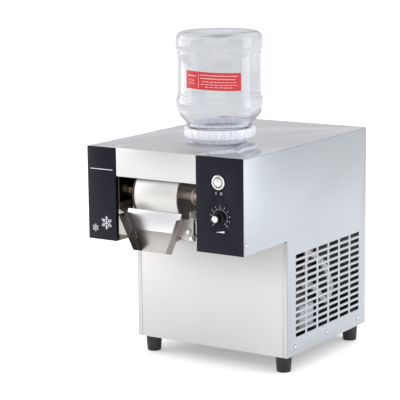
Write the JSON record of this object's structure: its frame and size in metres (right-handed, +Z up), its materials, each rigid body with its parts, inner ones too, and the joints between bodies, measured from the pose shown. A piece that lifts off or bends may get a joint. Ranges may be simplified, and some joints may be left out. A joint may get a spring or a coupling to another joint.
{
  "type": "shaved ice machine",
  "caption": "Countertop drum-type snow ice machine: bottle-fed water freezes on a cold turning drum, a blade scrapes it off down a front chute; vented stainless cabinet on feet.",
  "frame": {"origin": "on the bench, under the centre of the bounding box", "axes": "+X to the machine's right-hand side as seen by the user in front, +Y to the back, +Z up"},
  "size_m": [0.3, 0.442, 0.566],
  "materials": {
    "stainless": "fine brushed",
    "polished_stainless": "bright annealed",
    "blade_steel": "polished, ground edge",
    "black_panel": "satin black printed acrylic",
    "drum_coating": "satin white anodised",
    "rubber": "matt black",
    "black_plastic": "fine matt texture",
    "black_paint": "semi-gloss black enamel",
    "white_plastic": "smooth",
    "clear_bottle": "clear PET",
    "frosted_cap": "translucent polypropylene",
    "brass": "machined",
    "copper": "drawn copper tube",
    "aluminium": "mill finish",
    "foam": "white foam pipe insulation",
    "button_metal": "turned stainless",
    "circuit_board": "solder mask",
    "zinc": "zinc plated"
  },
  "bodies": {
    "housing": {"base_plate": "stainless", "side_panel_right": "stainless", "side_panel_left": "stainless", "top_panel": "stainless", "rear_panel": "stainless", "lower_front_panel": "stainless", "deck_plate": "zinc", "overhang_floor": "stainless", "bay_liner": "polished_stainless", "fascia_left": "black_panel", "fascia_right": "black_panel", "bearing_housing_left": "polished_stainless", "bearing_left": "zinc", "bearing_housing_right": "polished_stainless", "bearing_right": "zinc", "rotary_union": "brass", "motor_bracket": "zinc", "drum_motor": "black_paint", "scraper_blade": "blade_steel", "blade_holder": "polished_stainless", "water_tray": "white_plastic", "bottle_seat": "frosted_cap", "feed_cup": "white_plastic", "feed_valve": "black_plastic", "feed_tube": "frosted_cap", "compressor": "black_paint", "condenser": "aluminium", "fan_shroud": "black_plastic", "fan_motor": "zinc", "filter_drier": "copper", "discharge_line": "copper", "liquid_line": "copper", "suction_line": "foam", "control_board": "circuit_board", "power_inlet": "black_plastic", "button_bezel": "button_metal", "switch_body": "black_plastic", "potentiometer": "zinc", "foot_front_left": "rubber", "foot_front_right": "rubber", "foot_rear_left": "rubber", "foot_rear_right": "rubber"},
    "drum": {"drum_shell": "drum_coating", "drum_end_left": "black_plastic", "drum_end_right": "polished_stainless", "drum_shaft": "polished_stainless", "drum_gear": "brass"},
    "pinion": {"motor_pinion": "zinc"},
    "fan": {"fan_blades": "aluminium"},
    "button": {"button_cap": "button_metal"},
    "knob": {"speed_knob": "black_plastic", "knob_cap": "aluminium"},
    "cover": {"drum_cover": "stainless"},
    "chute": {"snow_chute": "polished_stainless", "chute_screw_left_upper": "polished_stainless", "chute_screw_left_lower": "polished_stainless", "chute_screw_right_upper": "polished_stainless", "chute_screw_right_lower": "polished_stainless"},
    "bottle": {"bottle": "clear_bottle"},
    "cap": {"bottle_cap": "frosted_cap"}
  },
  "joints": [
    {"name": "drum_spin", "type": "hinge", "parent": "housing", "child": "drum", "pos_m": [-0.016, -0.154, 0.307], "axis": [1, 0, 0], "continuous": true},
    {"name": "pinion_spin", "type": "hinge", "parent": "housing", "child": "pinion", "pos_m": [0.072, -0.112, 0.307], "axis": [1, 0, 0], "continuous": true},
    {"name": "fan_spin", "type": "hinge", "parent": "housing", "child": "fan", "pos_m": [-0.045, 0.16, 0.124], "axis": [0, 1, 0], "continuous": true},
    {"name": "power_button", "type": "slide", "parent": "housing", "child": "button", "axis": [0, 1, 0], "range_m": [0, 0.0022], "stiffness_N_per_m": 400, "springref_m": -0.002},
    {"name": "speed_knob", "type": "hinge", "parent": "housing", "child": "knob", "pos_m": [0.1075, -0.207, 0.286], "axis": [0, 1, 0], "range_deg": [0, 270]},
    {"name": "cover_pull", "type": "slide", "parent": "housing", "child": "cover", "axis": [0, -1, 0], "range_m": [0, 0.11]},
    {"name": "chute_pull", "type": "slide", "parent": "housing", "child": "chute", "axis": [0, -1, 0], "range_m": [0, 0.08]},
    {"name": "bottle_lift", "type": "slide", "parent": "housing", "child": "bottle", "axis": [0, 0, 1], "range_m": [0, 0.15]},
    {"name": "cap_turn", "type": "hinge", "parent": "bottle", "child": "cap", "pos_m": [0.0155, -0.052, 0.4], "axis": [0, 0, 1], "range_deg": [0, 360]}
  ],
  "couplings": [
    {"joint": "pinion_spin", "follows": "drum_spin", "ratio": -2.5}
  ]
}
